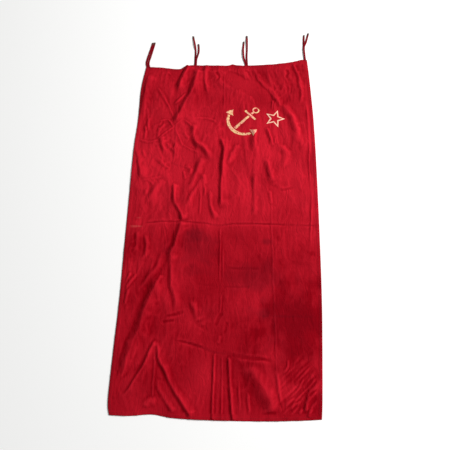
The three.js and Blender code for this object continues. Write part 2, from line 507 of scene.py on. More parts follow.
@dataclass
class TieString:
    """A narrow strip of calico, folded and stitched along its length, frayed at its free end.

    Its route is in metres, and its other sizes are in millimetres.
    """

    node: str
    route: Route
    # Turn of the strip about its own line, as [share of its length, degrees].
    turns: Plan
    width: float = 10.0
    thickness: float = 1.6
    # Length that is sewn on to the hem, before the route starts.
    tail: float = 9.0
    # The strip stops this far short of its end, where the loose threads go on.
    core_gap: float = 2.6
    threads: int = 16
    # A loose thread starts this far back in the strip, and reaches this far out of it.
    thread_root: float = 3.0
    thread_reach: float = 5.5
    points: int = 72
    sides: int = 16
    seed: int = 1

    def line(self) -> np.ndarray:
        """Run the strip's whole line.

        Returns:
            Its points in millimetres, from the end sewn to the hem to the free end.
        """
        route = np.asarray(self.route) / MM
        back = route[0] - route[1]
        inner = route[0] + back / np.linalg.norm(back) * self.tail
        inner[2] = route[0][2]
        return smooth_line([inner, *route], self.points)

    def loose_thread(self, end: np.ndarray, ahead: np.ndarray, side: np.ndarray,
                     rng: np.random.Generator) -> list[np.ndarray]:
        """Draw one loose thread at the free end, as five rings of four points.

        Args:
            end: Last point of the strip's line.
            ahead: Direction of the line there.
            side: Direction across the strip there.
            rng: Source of the thread's place, lean, reach and thickness.

        Returns:
            The points, ring after ring.
        """
        start = end - ahead * self.thread_root + side * rng.uniform(-3.6, 3.6)
        start[2] = end[2] + rng.uniform(-0.4, 0.4)
        drift = side * rng.uniform(-2.6, 2.6)
        reach = self.thread_root + self.thread_reach * rng.uniform(0.7, 1.05)
        radius = rng.uniform(0.28, 0.42)
        points = []
        for s in np.linspace(0, 1, 5):
            centre = start + ahead * reach * s + drift * s * s
            centre[2] = max(0.45, start[2] * (1 - s) + 0.5 * s)
            size = radius * (1 - 0.75 * s)
            for k in range(4):
                a = math.pi / 2 * k
                points.append(centre + side * math.cos(a) * size
                              + np.array((0, 0, 1)) * math.sin(a) * size)
        return points

    def build(self, material: bpy.types.Material) -> bpy.types.Object:
        """Args:
            material: The strip's calico.

        Returns:
            The finished piece.
        """
        line = self.line()
        length = length_of(line)
        share = np.linspace(0, 1, len(line))
        run = share * length
        ahead = np.gradient(line, axis=0)
        ahead /= np.linalg.norm(ahead, axis=1)[:, None]
        side = np.cross(ahead, (0, 0, 1))
        side /= np.linalg.norm(side, axis=1)[:, None]
        up = np.cross(side, ahead)
        turn = np.radians(np.interp(share, *np.array(self.turns).T))
        half_w = self.width / 2 * (1 + 0.03 * ripple(run, 0 * run, 9, 9, self.seed))
        half_t = self.thickness / 2 * (1 + 0.10 * ripple(run, 0 * run, 5, 5, self.seed + 1))
        # The strip never dips into the surface, however it is turned.
        reach = np.abs(half_w * np.sin(turn)) + np.abs(half_t * np.cos(turn))
        line[:, 2] = np.maximum(line[:, 2], reach + 0.05)

        # A flat section with soft edges.
        angle = 2 * np.pi * (np.arange(self.sides) + 0.5) / self.sides
        flat = np.sign(np.cos(angle)) * np.abs(np.cos(angle)) ** 0.45
        deep = np.sign(np.sin(angle)) * np.abs(np.sin(angle)) ** 0.7
        core = np.flatnonzero(run <= length - self.core_gap)
        vertices, tips, dirt_and_shade_cover = [], [], []
        for i in core:
            wide = side[i] * math.cos(turn[i]) + up[i] * math.sin(turn[i])
            high = up[i] * math.cos(turn[i]) - side[i] * math.sin(turn[i])
            ring = line[i] + np.outer(flat * half_w[i], wide) + np.outer(deep * half_t[i], high)
            vertices.extend(ring)
            near_tip = float(smoothstep(np.array(run[i]), length - 27, length - 8))
            tips.extend([0.8 * near_tip] * self.sides)
            dirt_and_shade_cover.extend([0.35 + 0.35 * near_tip] * self.sides)
        faces = tube_faces(0, len(core), self.sides)

        rng = np.random.default_rng(self.seed)
        last = core[-1]
        for _ in range(self.threads):
            faces += tube_faces(len(vertices), 5, 4)
            vertices += self.loose_thread(line[last], ahead[last], side[last], rng)
        loose = len(vertices) - len(tips)
        tips += [0.85] * loose
        dirt_and_shade_cover += [0.6] * loose

        piece = make_mesh(self.node.replace("string", "tie"), np.array(vertices), faces)
        mark(piece, "scuff", np.array(tips))
        mark(piece, "grime", np.array(dirt_and_shade_cover))
        mark(piece, "fade", 0.25 + 0.1 * np.array(dirt_and_shade_cover))
        dress(piece, material)
        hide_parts(self.node)
        log.info("%s: %.0f mm long", piece.name, length_of(line))
        return piece


# ---- Cloth ----

@dataclass(frozen=True)
class Crease:
    """A fold line left in the cloth, in millimetres, from its hoist end to its fly end.

    A positive height is a ridge and a negative one a trough. West and east are the widths of its
    flanks. Crisp runs from 0, a soft roll, to 1, a pressed edge. Fades are the shares of its
    length over which it dies out at its hoist end and its fly end.
    """

    height: float
    west: float
    east: float
    crest: Plan
    crisp: float = 0.35
    fades: tuple[float, float] = (0.28, 0.28)

    def lift(self, x: np.ndarray, y: np.ndarray) -> np.ndarray:
        """Work out how far this crease moves the cloth up or down.

        Args:
            x: Places across.
            y: Places along.

        Returns:
            The height it adds at each place, below 0 for a trough.
        """
        line = smooth_line(self.crest, max(8, int(length_of(np.array(self.crest)) / 14)))
        nearest = np.full(x.shape, np.inf)
        side = np.ones(x.shape)
        share = np.zeros(x.shape)
        for i, (a, b) in enumerate(zip(line, line[1:])):
            run = b - a
            dx, dy = x - a[0], y - a[1]
            step = np.clip((dx * run[0] + dy * run[1]) / (run @ run), 0, 1)
            gap = np.hypot(dx - step * run[0], dy - step * run[1])
            closer = gap < nearest
            nearest = np.where(closer, gap, nearest)
            side = np.where(closer, np.sign(run[0] * dy - run[1] * dx), side)
            share = np.where(closer, (i + step) / (len(line) - 1), share)
        t = np.clip(nearest / np.where(side > 0, self.east, self.west), 0, 1)
        soft = 0.5 + 0.5 * np.cos(np.pi * t)
        flank = soft + self.crisp * ((1 - t) ** 2 - soft)
        ends = smoothstep(share, 0, max(self.fades[0], 1e-3)) * smoothstep(
            1 - share, 0, max(self.fades[1], 1e-3))
        return self.height * flank * ends


class Tone(Enum):
    """What a mark on the cloth does to its colour."""

    DIRT = "grime"
    SCUFF = "scuff"
    FADED = "fade"


@dataclass(frozen=True)
class Stain:
    """A soft patch on the cloth: its middle, its half sizes and its strength.

    A FADED patch of negative strength has kept more of its dye than the cloth around it.
    """

    tone: Tone
    x: float
    y: float
    across: float
    along: float
    strength: float

    def cover(self, x: np.ndarray, y: np.ndarray, seed: int) -> np.ndarray:
        """Work out how strongly the patch shows.

        Args:
            x: Places across.
            y: Places along.
            seed: Seed of its ragged edge.

        Returns:
            Its strength at each place.
        """
        edge = np.clip(1 + 0.22 * ripple(x, y, 22, 22, seed), 0.5, None)
        far = np.hypot((x - self.x) / self.across, (y - self.y) / self.along) * edge
        return self.strength * (1 - smoothstep(far, 0.35, 1.15))


HOIST_EDGE: Plan = (
    (-426, 830), (-350, 827), (-258, 821), (-227, 833), (-195, 847), (-132, 846), (-4, 848),
    (30, 858), (68, 850), (187, 859), (290, 868), (350, 882), (395, 896), (427, 896))
FLY_EDGE: Plan = (
    (-432, -886), (-348, -887), (-262, -880), (-181, -891), (-38, -896), (152, -896),
    (327, -890), (414, -884))
WEST_EDGE: Plan = (
    (-432, -886), (-443, -829), (-443, -650), (-440, -422), (-443, -145), (-445, 107),
    (-447, 325), (-441, 499), (-442, 683), (-432, 786), (-426, 830))
EAST_EDGE: Plan = (
    (414, -884), (420, -810), (430, -614), (439, -402), (444, -125), (447, 235),
    (445, 520), (435, 767), (427, 896))

# Folds that hang from the ties and run down the hoist end.
TIE_CREASES = (
    Crease(10, 18, 46, ((-400, 790), (-411, 740), (-420, 670), (-427, 580), (-430, 470)),
           fades=(0.12, 0.3)),
    Crease(3, 10, 15, ((-399, 600), (-392, 520), (-380, 420))),
    Crease(10, 28, 38, ((-203, 842), (-214, 800), (-232, 750), (-244, 705), (-254, 655)),
           crisp=0.35, fades=(0.0, 0.45)),
    Crease(10, 26, 54, ((-148, 826), (-160, 762), (-170, 698), (-194, 635), (-214, 590),
                        (-238, 520), (-253, 462)), crisp=0.45, fades=(0.06, 0.2)),
    Crease(4.5, 15, 22, ((-112, 840), (-110, 770), (-104, 720), (-90, 655)), fades=(0.0, 0.4)),
    Crease(3.5, 10, 14, ((-208, 668), (-235, 630), (-264, 595))),
    Crease(3, 16, 8, ((-356, 706), (-322, 642), (-286, 580), (-260, 508)), crisp=0.9,
           fades=(0.1, 0.2)),
    Crease(2.5, 8, 10, ((-343, 694), (-302, 612), (-270, 548)), crisp=0.9),
    Crease(2.5, 8, 8, ((-312, 804), (-292, 785), (-266, 748)), crisp=0.6),
    Crease(-3, 14, 16, ((-60, 812), (-40, 775), (-52, 742)), crisp=0.2),
    Crease(-3, 14, 12, ((102, 822), (124, 782), (152, 742)), fades=(0.1, 0.3)),
    Crease(5, 20, 34, ((142, 838), (164, 786), (187, 738), (237, 671), (279, 610), (306, 578)),
           crisp=0.5, fades=(0.05, 0.15)),
    Crease(7.5, 34, 34, ((282, 628), (304, 588), (328, 545), (352, 476), (370, 399), (376, 350)),
           crisp=0.3, fades=(0.15, 0.3)),
    Crease(3.5, 15, 20, ((368, 832), (385, 735), (390, 664), (376, 596)), crisp=0.5,
           fades=(0.1, 0.2)),
    Crease(3.5, 18, 13, ((412, 868), (418, 795), (428, 728)), fades=(0.1, 0.3)),
    Crease(3, 14, 12, ((352, 872), (362, 838), (372, 800)), fades=(0.05, 0.3)),
    Crease(-10, 60, 55, ((-25, 800), (60, 748), (135, 716), (200, 668), (240, 600)), crisp=0.0,
           fades=(0.25, 0.25)),
    Crease(-4.5, 14, 16, ((312, 838), (322, 800), (308, 764)), crisp=0.1),
    Crease(3, 7, 8, ((240, 640), (238, 600), (236, 570)), crisp=0.6),
)

# Folds in the upper half, most of them from bunching in the hand.
MIDDLE_CREASES = (
    Crease(5, 16, 25, ((-314, 408), (-307, 355), (-296, 312), (-283, 283)), fades=(0.1, 0.4)),
    Crease(3, 10, 13, ((-330, 462), (-329, 395)), fades=(0.2, 0.2)),
    Crease(7.5, 22, 31, ((-158, 485), (-153, 412), (-141, 374), (-107, 348), (-88, 320),
                        (-62, 272)), crisp=0.6, fades=(0.12, 0.25)),
    Crease(10, 15, 40, ((-26, 415), (-13, 380), (-2, 345), (-5, 290), (-11, 190), (-12, 100),
                        (-10, 22)), crisp=0.75, fades=(0.1, 0.1)),
    Crease(6, 22, 30, ((76, 374), (50, 332), (28, 290), (8, 242)), fades=(0.15, 0.3)),
    Crease(6, 22, 36, ((-106, 292), (-122, 240), (-138, 195), (-150, 150), (-174, 100)),
           fades=(0.15, 0.25)),
    Crease(4.5, 16, 26, ((-100, 186), (-128, 130), (-158, 60), (-168, 20))),
    Crease(7.5, 30, 20, ((146, 468), (148, 400), (150, 360), (160, 312)), fades=(0.15, 0.25)),
    Crease(6, 16, 16, ((204, 470), (225, 418), (235, 360)), crisp=0.6, fades=(0.15, 0.15)),
    Crease(3, 8, 8, ((250, 412), (248, 372)), crisp=0.6),
    Crease(5, 32, 32, ((260, 376), (290, 342), (303, 300), (298, 262), (286, 222)), crisp=0.2,
           fades=(0.2, 0.3)),
    Crease(4.5, 26, 30, ((195, 300), (216, 250), (230, 200), (228, 150)), fades=(0.25, 0.3)),
    Crease(4, 16, 24, ((142, 205), (146, 120), (144, 30), (142, -20)), crisp=0.4,
           fades=(0.15, 0.2)),
    Crease(3, 12, 18, ((222, 128), (223, 46))),
    Crease(6, 12, 38, ((-433, 340), (-418, 270), (-402, 215), (-391, 158)), fades=(0.2, 0.2)),
    Crease(5, 24, 32, ((-290, 172), (-318, 125), (-340, 80), (-360, 36)), fades=(0.2, 0.3)),
    Crease(3.5, 8, 10, ((-108, 118), (-106, 40), (-108, -22)), crisp=0.8),
    Crease(6, 18, 26, ((-67, 120), (-62, 60), (-50, 15), (-28, -38)), fades=(0.25, 0.2)),
    Crease(3, 8, 15, ((-222, 374), (-195, 352), (-165, 332), (-154, 314)), crisp=0.7),
    Crease(3, 8, 13, ((-344, 296), (-318, 270), (-296, 248), (-272, 228)), crisp=0.7),
    Crease(3.5, 8, 12, ((-236, 376), (-246, 352), (-254, 326)), crisp=0.7),
    Crease(3.5, 8, 10, ((-290, 372), (-278, 350), (-268, 330)), crisp=0.7),
    Crease(3, 12, 10, ((-398, 196), (-370, 178), (-338, 200)), crisp=0.5),
    Crease(3.5, 9, 12, ((-378, 172), (-350, 150), (-332, 132)), crisp=0.6),
    Crease(3, 10, 14, ((-366, 112), (-372, 84))),
    Crease(3.5, 10, 14, ((-196, 225), (-190, 190), (-186, 165)), crisp=0.6),
    Crease(3.5, 10, 14, ((-160, 235), (-166, 195)), crisp=0.6),
    Crease(3, 12, 16, ((-210, 440), (-196, 415), (-172, 398)), crisp=0.6),
    Crease(3.5, 10, 12, ((-400, 470), (-396, 420), (-390, 385))),
    Crease(3.5, 9, 12, ((-396, 330), (-388, 280))),
    Crease(3, 12, 16, ((-300, 490), (-322, 450), (-338, 415)), crisp=0.6),
    Crease(4, 16, 20, ((-98, 200), (-92, 170), (-90, 140))),
    Crease(1.6, 8, 9, ((-160, 512), (-110, 520), (-60, 506), (-36, 480)), crisp=0.6),
    Crease(-3, 10, 12, ((246, 120), (293, 127), (340, 138)), crisp=0.7),
    Crease(3, 8, 9, ((-334, 496), (-284, 508)), crisp=0.9),
    Crease(3.5, 8, 9, ((-296, 514), (-250, 452)), crisp=0.9),
    Crease(3, 8, 9, ((-262, 458), (-206, 514)), crisp=0.9),
    Crease(3, 8, 9, ((-218, 512), (-158, 462)), crisp=0.9),
    Crease(3.5, 8, 9, ((-256, 464), (-204, 346)), crisp=0.9),
    Crease(3, 8, 9, ((-222, 366), (-122, 314)), crisp=0.9),
    Crease(3, 8, 9, ((-256, 460), (-290, 432), (-333, 385)), crisp=0.9, fades=(0.1, 0.2)),
    Crease(3.5, 8, 9, ((-340, 282), (-302, 248), (-258, 225)), crisp=0.9, fades=(0.15, 0.2)),
    Crease(3, 9, 9, ((-258, 268), (-234, 256), (-197, 241), (-150, 233)), crisp=0.8),
    Crease(3, 8, 9, ((-426, 384), (-373, 371), (-326, 384)), crisp=0.8, fades=(0.1, 0.2)),
    Crease(3, 8, 8, ((-276, 368), (-250, 322), (-232, 368)), crisp=0.9, fades=(0.15, 0.15)),
    Crease(3, 8, 10, ((-395, 158), (-364, 164), (-295, 181)), crisp=0.8, fades=(0.1, 0.2)),
    Crease(4, 10, 14, ((-110, 190), (-92, 132), (-88, 68)), crisp=0.6),
)

# Long folds of the lower half and the fan of folds that starts at the fly edge.
FLY_CREASES = (
    Crease(9, 16, 36, ((-238, 150), (-231, 60), (-216, 28), (-198, 0), (-184, -48)), crisp=0.8,
           fades=(0.1, 0.1)),
    Crease(7, 22, 46, ((-188, -38), (-199, -100), (-214, -165), (-231, -205), (-223, -260)),
           crisp=0.6, fades=(0.1, 0.15)),
    Crease(4.5, 18, 40, ((-229, -200), (-223, -270), (-218, -335), (-199, -400), (-188, -470)),
           crisp=0.6, fades=(0.15, 0.2)),
    Crease(9, 34, 60, ((-256, -300), (-286, -355), (-322, -450), (-341, -530), (-364, -605),
                       (-388, -700), (-404, -790)), fades=(0.15, 0.25)),
    Crease(4, 18, 26, ((-262, -170), (-282, -262), (-318, -312), (-364, -392)),
           fades=(0.3, 0.3)),
    Crease(4, 14, 22, ((-262, -300), (-278, -335), (-298, -365)), fades=(0.25, 0.25)),
    Crease(6, 12, 48, ((-264, -585), (-284, -622), (-312, -690), (-349, -760), (-384, -822)),
           crisp=0.7, fades=(0.1, 0.2)),
    Crease(6, 14, 34, ((-262, -588), (-248, -670), (-222, -708), (-183, -778), (-142, -834),
                       (-108, -884)), crisp=0.7, fades=(0.12, 0.02)),
    Crease(3, 14, 22, ((-248, -735), (-238, -786), (-208, -825), (-172, -872)),
           crisp=0.5, fades=(0.25, 0.15)),
    Crease(2.5, 10, 10, ((-270, -590), (-268, -690)), crisp=0.7),
    Crease(5, 9, 13, ((-20, -625), (-22, -760), (-21, -892)), crisp=0.9, fades=(0.15, 0.0)),
    Crease(2.4, 7, 8, ((12, -640), (15, -760), (14, -892)), crisp=0.9, fades=(0.15, 0.0)),
    Crease(6, 11, 22, ((38, -645), (48, -770), (58, -892)), crisp=0.85, fades=(0.1, 0.0)),
    Crease(2, 8, 10, ((78, -690), (84, -780), (88, -880)), crisp=0.8),
    Crease(3, 10, 12, ((120, -780), (124, -880)), crisp=0.3),
    Crease(6, 58, 46, ((110, -668), (150, -722), (188, -775), (208, -815), (218, -866)),
           crisp=0.2, fades=(0.2, 0.1)),
    Crease(-3, 12, 13, ((-60, -612), (20, -634), (90, -648), (160, -655), (250, -668)),
           crisp=0.8, fades=(0.25, 0.3)),
    Crease(2.5, 10, 15, ((236, -690), (248, -780), (252, -838))),
    Crease(2.5, 8, 10, ((290, -645), (284, -688), (262, -714)), crisp=0.6),
    Crease(6, 14, 28, ((418, -732), (384, -772), (360, -800), (350, -858)), fades=(0.1, 0.1)),
    Crease(4.5, 12, 17, ((408, -798), (374, -838), (360, -876)), fades=(0.15, 0.05)),
    Crease(2.5, 8, 12, ((352, -716), (330, -760), (302, -795)), crisp=0.7),
    Crease(3.5, 9, 14, ((336, -812), (308, -830), (286, -852)), crisp=0.6),
    Crease(3.5, 9, 12, ((340, -842), (322, -866)), crisp=0.6),
    Crease(2.5, 8, 12, ((312, -800), (284, -822), (268, -836)), crisp=0.6),
    Crease(2.6, 6, 7, ((-9, -70), (-8, -200), (-5, -355)), crisp=1.0, fades=(0.1, 0.1)),
    Crease(1.5, 5, 6, ((5, -160), (8, -345)), crisp=1.0),
    Crease(3.5, 14, 19, ((-394, -92), (-388, -150), (-393, -212))),
    Crease(4, 13, 22, ((-356, -108), (-345, -170), (-343, -205), (-354, -242))),
    Crease(2.5, 10, 13, ((-372, -298), (-400, -340), (-426, -384))),
    Crease(3.5, 9, 11, ((-402, -292), (-424, -350))),
    Crease(3.5, 12, 14, ((-404, -366), (-418, -455))),
    Crease(3.5, 6, 18, ((-432, -480), (-436, -540), (-436, -610))),
    Crease(4, 20, 36, ((-130, -408), (-110, -455), (-92, -508)), fades=(0.3, 0.15)),
    Crease(3, 6, 10, ((412, 640), (418, 400), (411, 246), (415, 84), (399, -160)), crisp=0.7,
           fades=(0.1, 0.1)),
    Crease(3.5, 24, 24, ((-300, -856), (-272, -832), (-240, -834)), crisp=0.1),
    Crease(-1.5, 13, 13, ((10, -462), (-6, -495), (-17, -532)), crisp=0.4),
    Crease(-1.3, 13, 13, ((32, -502), (14, -566)), crisp=0.4),
    Crease(1.8, 14, 14, ((2, -560), (-8, -600)), crisp=0.3),
    Crease(-1.4, 13, 13, ((-242, -484), (-200, -478), (-152, -464)), crisp=0.4),
    Crease(-1.2, 13, 13, ((-254, -513), (-190, -500)), crisp=0.4),
    Crease(-2, 13, 13, ((-108, -506), (-82, -526), (-46, -536)), crisp=0.4),
)

# Where the flag was folded for storage: pressed lines in four across and six along.
STORAGE_FOLDS = (
    Crease(-1.8, 7, 7, ((-370, -58), (-330, -56), (-250, -50), (-102, -52), (-20, -64),
                        (88, -52), (441, -56)), crisp=0.8, fades=(0.05, 0.02)),
    Crease(-0.55, 9, 9, ((-120, -340), (0, -352), (150, -350)), crisp=0.6),
    Crease(-0.5, 12, 12, ((10, -264), (190, -267)), crisp=0.4),
    Crease(-2.2, 9, 9, ((-200, -582), (-110, -602), (-20, -632), (60, -640)), crisp=0.7),
    Crease(-1.4, 8, 8, ((-262, 262), (-232, 248), (-180, 236)), crisp=0.7),
    Crease(2.4, 14, 8, ((-250, 640), (-244, 460), (-244, 370), (-246, 190)), crisp=0.7),
    Crease(2.2, 7, 8, ((-266, -590), (-266, -690), (-264, -850)), crisp=0.9),
    Crease(1.8, 6, 7, ((-10, 836), (-9, 700), (-7, 560)), crisp=0.9),
    Crease(1.6, 6, 7, ((2, -380), (-2, -470)), crisp=0.8),
    Crease(1.1, 7, 8, ((226, 140), (229, -250), (232, -400), (236, -560), (240, -850)),
           crisp=0.9, fades=(0.1, 0.1)),
)

STAINS = (
    Stain(Tone.DIRT, 204, -141, 26, 18, 0.42),
    Stain(Tone.DIRT, -122, -110, 55, 42, 0.24),
    Stain(Tone.DIRT, -112, -165, 95, 120, 0.24),
    Stain(Tone.DIRT, 186, -466, 42, 32, 0.24),
    Stain(Tone.DIRT, 300, -490, 140, 130, 0.20),
    Stain(Tone.DIRT, 165, -310, 160, 70, 0.22),
    Stain(Tone.FADED, 330, -850, 150, 80, -0.22),
    Stain(Tone.FADED, 335, -500, 165, 270, -0.42),
    Stain(Tone.DIRT, -125, -285, 75, 28, 0.16),
    Stain(Tone.DIRT, 300, -477, 130, 6, 0.16),
    Stain(Tone.FADED, -390, -56, 19, 24, 0.6),
    Stain(Tone.SCUFF, -400, -78, 38, 2.2, 0.25),
    Stain(Tone.SCUFF, -388, -34, 17, 2, 0.16),
    Stain(Tone.SCUFF, 283, 866, 4, 3, 0.5),
)


@dataclass
class ClothPanel:
    """The length of calico with its turned hems, in millimetres."""

    name: str = "flag_cloth"
    node: str = "cloth"
    cut: tuple[float, float] = (900.0, 1800.0)
    # Rough size as it lies, which turns shares of a side into millimetres.
    wide: float = 880.0
    long: float = 1750.0
    layer: float = 0.6
    hem_width: float = 14.0
    hem_extra: float = 1.1
    # Mesh lines in from each edge, closer together than the even cells of the middle.
    rim: tuple[float, ...] = (0.0, 0.7, 1.8, 3.5, 6.0, 9.0, 11.5, 13.5, 16.0, 19.0, 22.5)
    cells: tuple[int, int] = (210, 320)

    def shares(self, length: float, cells: int) -> np.ndarray:
        """Space the mesh lines over a side, closer together in the hems.

        Args:
            length: Length of the side in millimetres.
            cells: Number of even cells between the hems.

        Returns:
            Shares of the side, from 0 to 1, an odd number of them.
        """
        rim = np.array(self.rim)
        middle = np.linspace(rim[-1], length - rim[-1], cells + 1)
        return np.concatenate([rim[:-1], middle, length - rim[-2::-1]]) / length

    def plan(self, u: np.ndarray, v: np.ndarray) -> tuple[np.ndarray, np.ndarray]:
        """Place points of the sheet between its four edges.

        Args:
            u: Shares across, from west to east.
            v: Shares along, from fly to hoist.

        Returns:
            The x and y of each point, in millimetres.
        """
        grid = np.linspace(0, 1, 1001)
        edges = [smooth_line(e, 1001) for e in (FLY_EDGE, HOIST_EDGE, WEST_EDGE, EAST_EDGE)]
        out = []
        for axis in (0, 1):
            fly, hoist = (np.interp(u, grid, e[:, axis]) for e in edges[:2])
            west, east = (np.interp(v, grid, e[:, axis]) for e in edges[2:])
            sw, se = edges[0][0, axis], edges[0][-1, axis]
            nw, ne = edges[1][0, axis], edges[1][-1, axis]
            corners = (sw * (1 - u) + se * u) * (1 - v) + (nw * (1 - u) + ne * u) * v
            out.append(fly * (1 - v) + hoist * v + west * (1 - u) + east * u - corners)
        return out[0], out[1]

    def lift(self, x: np.ndarray, y: np.ndarray, inset: np.ndarray,
             sides: np.ndarray) -> np.ndarray:
        """Work out how far the cloth stands off the surface.

        Args:
            x: Places across.
            y: Places along.
            inset: Distance to the nearest edge.
            sides: Distance to the nearest of the west and east edges.

        Returns:
            The height of the underside at each place, never below 0.
        """
        bend_x = x + 9 * ripple(x, y, 90, 90, 1)
        bend_y = y + 9 * ripple(x, y, 90, 90, 2)

        def rolled(across: float, along: float, seed: int) -> np.ndarray:
            """Give soft waves in the cloth."""
            return ripple(bend_x, bend_y, across, along, seed)

        def ridged(across: float, along: float, seed: int) -> np.ndarray:
            """Give sharp crests between soft hollows."""
            return 1 - np.abs(rolled(across, along, seed))

        # A soft crease strays from its line and swells along it. A crisp one stays straight.
        stray_x = x + 2.2 * ripple(x, y, 34, 34, 12) + 0.9 * ripple(x, y, 13, 13, 13)
        stray_y = y + 2.2 * ripple(x, y, 34, 34, 14) + 0.9 * ripple(x, y, 13, 13, 15)
        uneven = np.clip(1 + 0.3 * ripple(x, y, 38, 38, 17), 0.35, 1.5)
        ridges = np.zeros(x.shape)
        troughs = np.zeros(x.shape)
        for crease in (*TIE_CREASES, *MIDDLE_CREASES, *FLY_CREASES, *STORAGE_FOLDS):
            loose = 1 - 0.85 * crease.crisp
            part = crease.lift(x + loose * (stray_x - x), y + loose * (stray_y - y))
            part *= 1 + loose * (uneven - 1)
            if crease.height > 0:
                # Where ridges cross, the higher one shows and they don't add up.
                ridges += part ** 3
            else:
                troughs += part

        # The fly half, and its east side above all, is smoother than the hoist half.
        calm = 1 - (0.28 + 0.27 * smoothstep(x, -120, 20)) * smoothstep(-y, -120, 60)
        slack = calm * (1.5 * rolled(70, 110, 3) + 0.9 * rolled(26, 60, 4)
                        + 0.3 * rolled(8, 30, 5) + 0.9 * ridged(42, 80, 16))
        # The west side near the hoist was crumpled.
        crumpled = np.exp(-((x + 290) / 150) ** 2 - ((y - 280) / 260) ** 2)
        slack += crumpled * (ridged(24, 30, 6) + 0.45 * ridged(12, 18, 7))
        # Crinkles come in patches.
        patches = smoothstep(ripple(x, y, 110, 110, 18), -0.6, 1.0)
        slack += calm * (0.3 + 0.7 * patches) * 0.6 * ridged(17, 26, 19)
        # Fine slanted folds spread over the south-east corner.
        fanned = np.exp(-((x - 355) / 90) ** 2 - ((y + 790) / 105) ** 2)
        eighth_turn = 0.7071
        slack += fanned * ripple((x - y) * eighth_turn, (x + y) * eighth_turn, 6, 30, 8)
        # The hems pucker across their stitches.
        pucker = np.where(inset < sides - 0.5, ripple(x, y, 7, 40, 9), ripple(x, y, 40, 8, 10))
        slack += np.exp(-inset / 16) * 0.45 * pucker
        height = np.cbrt(ridges) + troughs + slack + 1.0
        # The two selvedge sides lie flatter than the hoist and the fly.
        height *= 0.35 + 0.65 * smoothstep(sides, 0, 42)
        return 0.5 * (height + np.sqrt(height ** 2 + 0.3))

    def build(self, material: bpy.types.Material) -> bpy.types.Object:
        """Build the sheet with its face, its underside and its rims, and dress it.

        Args:
            material: The dyed calico.

        Returns:
            The finished piece.
        """
        u, v = np.meshgrid(self.shares(self.wide, self.cells[0]),
                           self.shares(self.long, self.cells[1]))
        x, y = self.plan(u, v)
        sides = np.minimum(u, 1 - u) * self.wide
        ends = np.minimum(v, 1 - v) * self.long
        inset = np.minimum(sides, ends)
        lift = self.lift(x, y, inset, sides)
        # The hem is thicker, with a groove where its stitches pull it down.
        hem = self.hem_extra * smoothstep(self.hem_width + 1.5 - inset, 0, 3)
        seam = 0.45 * np.exp(-((inset - self.hem_width + 2.5) / 1.6) ** 2)
        # The rim rounds over the last millimetres.
        over = np.sqrt(np.clip(1 - (1 - np.clip(inset / 1.6, 0, 1)) ** 2, 0, 1))
        face = lift + (self.layer + hem) * (0.25 + 0.75 * over) - seam

        rows, columns = x.shape
        top = np.stack([x, y, face], -1).reshape(-1, 3)
        # The underside has a coarser mesh, so it keeps under the lowest of the places around it.
        spread = face - (self.layer + hem)
        for axis in (0, 1):
            padded = np.pad(spread, [(2, 2) if a == axis else (0, 0) for a in (0, 1)], "edge")
            size = spread.shape[axis]
            spread = np.min([np.take(padded, range(k, k + size), axis) for k in range(5)], axis=0)
        low = np.stack([x, y, np.clip(spread, 0, None)], -1)[::2, ::2].reshape(-1, 3)

        def top_at(j: int, i: int) -> int:
            """Number a vertex of the face."""
            return j * columns + i

        half = (columns + 1) // 2

        def low_at(j: int, i: int) -> int:
            """Number a vertex of the underside, from its face row and column."""
            return len(top) + (j // 2) * half + i // 2

        faces = [(top_at(j, i), top_at(j, i + 1), top_at(j + 1, i + 1), top_at(j + 1, i))
                 for j in range(rows - 1) for i in range(columns - 1)]
        faces += [(low_at(j, i), low_at(j + 2, i), low_at(j + 2, i + 2), low_at(j, i + 2))
                  for j in range(0, rows - 1, 2) for i in range(0, columns - 1, 2)]
        # Around the edge, three faces join each two cells of the face to one of the underside.
        loop = ([(0, i) for i in range(columns - 1)] + [(j, columns - 1) for j in range(rows - 1)]
                + [(rows - 1, i) for i in range(columns - 1, 0, -1)]
                + [(j, 0) for j in range(rows - 1, 0, -1)])
        for k in range(0, len(loop), 2):
            a, b, c = loop[k], loop[k + 1], loop[(k + 2) % len(loop)]
            faces.append((low_at(*a), low_at(*c), top_at(*b)))
            faces.append((low_at(*a), top_at(*b), top_at(*a)))
            faces.append((low_at(*c), top_at(*c), top_at(*b)))

        piece = make_mesh(self.name, np.vstack([top, low]), faces)
        # Distance to the hoist or west edge, for the band of painted shade along their rims.
        shaded_edge_distance = np.minimum(u * self.wide, (1 - v) * self.long)
        for name, values in self.marks(x, y, inset, shaded_edge_distance, face).items():
            mark(piece, name, np.concatenate([values.ravel(), values[::2, ::2].ravel()]))
        dress(piece, material)
        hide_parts(self.node)
        log.info("%s: %d faces, highest %.1f mm", self.name, len(faces), face.max())
        self.tree = BVHTree.FromPolygons([tuple(p) for p in top.tolist()],
                                         faces[:(rows - 1) * (columns - 1)])
        return piece

    def marks(self, x: np.ndarray, y: np.ndarray, inset: np.ndarray, shaded_edge_distance: np.ndarray,
              face: np.ndarray) -> dict[str, np.ndarray]:
        """Work out fading, soiling, scuffs, painted shade and painted highlight at each place of the
        face.

        Args:
            x: Places across.
            y: Places along.
            inset: Distance to the nearest edge.
            shaded_edge_distance: Distance to the hoist or west edge, along whose rims a band of
                painted shade runs.
            face: Height of the face.

        Returns:
            One layer for each tone, by its name.
        """
        layers = {tone.value: np.zeros(x.shape) for tone in Tone}
        # Paler through the middle and darker again towards the hoist edge; the darkening towards the
        # fly end is partly fading of the dye and partly painted shade where the light falls off.
        layers["fade"] += 0.37 + 0.51 * smoothstep(y, -240, 140) - 0.36 * smoothstep(y, 330, 700)
        layers["fade"] += 0.10 * ripple(x, y, 60, 60, 21)
